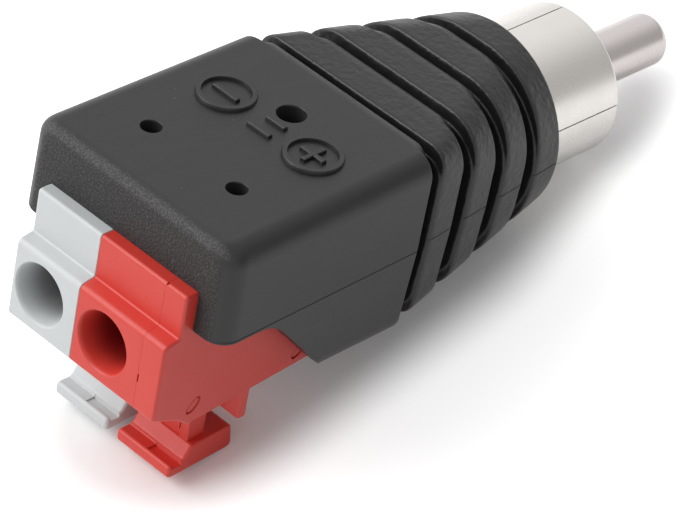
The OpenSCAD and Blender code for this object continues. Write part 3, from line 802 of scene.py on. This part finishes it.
# The support pins' holes are painted nearly black below the top face: painted shade.
deep = 0
for x, y, d, _ in PIN_HOLES:
    inside = spot.node("ShaderNodeVectorMath", {"operation": "SUBTRACT"}, {0: spot, 1: (x, y, top_at(x) - 0.1)})
    below = spot.node("ShaderNodeSeparateXYZ", {}, {0: inside}, "Z") < 0.0
    off = spot.node("ShaderNodeVectorMath", {"operation": "MULTIPLY"}, {0: inside, 1: (1, 1, 0)})
    off = spot.node("ShaderNodeVectorMath", {"operation": "LENGTH"}, {0: off}, "Value")
    deep = deep + below * (off < d / 2 + 0.03)
deep.between(grain_and_painted_highlights, (0.002, 0.002, 0.002, 1)).into(shader, "Base Color")
hammer = spot.noise(2.4, 1.0) * axis_x.ramp(15.2, 16.8)
(0.30 + flow * 0.10 + fine * 0.08 + eroded * 0.26 + deep * 0.4).into(shader, "Roughness")
relief(fine * 0.010 + flow * 0.02 + hammer * 0.05 + eroded * (coarse * 0.08 + grain * 0.03) + dust * 0.02
       + painted_glint * 0.02, shader)
settle(moulding, black_pvc, 40)
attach(moulding, "plug")
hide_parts("overmould")

# Table and light: a pale table under a large soft lamp from the left, in white surroundings that are
# darker low on the right, as in a small photo tent.
TABLE_HALF = 0.9
table = skin("table", [(x * TABLE_HALF, y * TABLE_HALF, 0) for x, y in ((-1, -1), (1, -1), (1, 1), (-1, 1))],
             [(0, 1, 2, 3)])
table_white = bpy.data.materials.new("table_white")
table_white.use_nodes = True
tree = table_white.node_tree
shader = tree.nodes["Principled BSDF"]
path = tree.nodes.new("ShaderNodeLightPath")
seen = Shade(tree, path.outputs["Is Camera Ray"]) + Shade(tree, path.outputs["Is Glossy Ray"]) * 0.5 + Shade(
    tree, path.outputs["Is Transmission Ray"])
shader.inputs["Base Color"].default_value = (0.92, 0.92, 0.92, 1)
shader.inputs["Roughness"].default_value = 0.7
shader.inputs["Specular IOR Level"].default_value = 0.0
spot = Shade(tree, tree.nodes.new("ShaderNodeTexCoord").outputs["Object"])
along = spot.node("ShaderNodeSeparateXYZ", {}, {0: spot}, "X")
# The table's glow is painted light: it rises with distance from the plug, so that the plug's shadow fades out away from
# it and stays only close by, and it is a little brighter towards the front.
beyond = along.math("MAXIMUM", along.math("MAXIMUM", along - 0.0155, -0.0175 - along), 0.0)
across = spot.node("ShaderNodeSeparateXYZ", {}, {0: spot}, "Y") * (1 + along.ramp(0.002, 0.018) * 0.55)
apart = spot.node("ShaderNodeCombineXYZ", {}, {"X": beyond, "Y": across})
apart = spot.node("ShaderNodeVectorMath", {"operation": "LENGTH"}, {0: apart}, "Value")
painted_glow = seen * (0.04 + along.ramp(0.006, 0.02) * 0.14 + apart.ramp(0.0045, 0.0092) * 0.56)
painted_glow.between((0, 0, 0, 1), (1, 1, 1, 1)).into(shader, "Emission Color")
shader.inputs["Emission Strength"].default_value = 1.0
table.data.materials.append(table_white)

scene = bpy.context.scene
scene.view_settings.view_transform = "Standard"
scene.world = bpy.data.worlds.new("photo_tent")
scene.world.use_nodes = True
tree = scene.world.node_tree
sky = tree.nodes["Background"]
path = tree.nodes.new("ShaderNodeLightPath")
camera_ray = Shade(tree, path.outputs["Is Camera Ray"]) + Shade(tree, path.outputs["Is Transmission Ray"])
glossy_ray = Shade(tree, path.outputs["Is Glossy Ray"])
toward = Shade(tree, tree.nodes.new("ShaderNodeTexCoord").outputs["Generated"])
rightward = toward.node("ShaderNodeVectorMath", {"operation": "DOT_PRODUCT"}, {0: toward, 1: (0.73, -0.68, 0)}, "Value")
height = toward.node("ShaderNodeSeparateXYZ", {}, {0: toward}, "Z")
dim = rightward.ramp(0.4, 0.85) * (1 - height.ramp(0.36, 0.76))
tent = dim.between((1, 1, 1, 1), (0.52, 0.515, 0.51, 1))
KEY_FROM = Vector((-0.46, 0.56, 0.69)).normalized()
KEY_AWAY = 0.36
KEY_SIZE = 0.3
KEY_POWER = 1.04
nearness = toward.node("ShaderNodeVectorMath", {"operation": "DOT_PRODUCT"}, {0: toward, 1: KEY_FROM}, "Value")
wall = nearness.ramp(-0.4, 0.9).between((0.37, 0.37, 0.37, 1), (0.55, 0.55, 0.55, 1))
around = glossy_ray.between(wall, tent)
camera_ray.between(around, (1, 1, 1, 1)).into(sky, "Color")

lamp_data = bpy.data.lights.new("key_softbox", "AREA")
lamp_data.shape = "RECTANGLE"
lamp_data.size = KEY_SIZE
lamp_data.size_y = KEY_SIZE
lamp_data.energy = KEY_POWER
lamp = bpy.data.objects.new("key_softbox", lamp_data)
lamp.location = KEY_FROM * KEY_AWAY
lamp.rotation_euler = KEY_FROM.to_track_quat("Z", "Y").to_euler()
scene.collection.objects.link(lamp)

# Camera: at the photograph's angle and distance, turned a little about its own line of sight.
CAMERA_PLACE = Vector((-0.122274, -0.129218, 0.184127))
CAMERA_SIGHT = Vector((0.4719025, 0.5096426, -0.7194251))
CAMERA_ROLL = -2.11356
camera_data = bpy.data.cameras.new("camera")
camera_data.sensor_width = 36.0
camera_data.lens = 232.092
camera_data.clip_start = 0.01
camera = bpy.data.objects.new("camera", camera_data)
level = CAMERA_SIGHT.to_track_quat("-Z", "Y").to_matrix().to_4x4()
camera.matrix_world = Matrix.Translation(CAMERA_PLACE) @ Matrix.Rotation(
    math.radians(CAMERA_ROLL), 4, -CAMERA_SIGHT) @ level
scene.collection.objects.link(camera)
scene.camera = camera
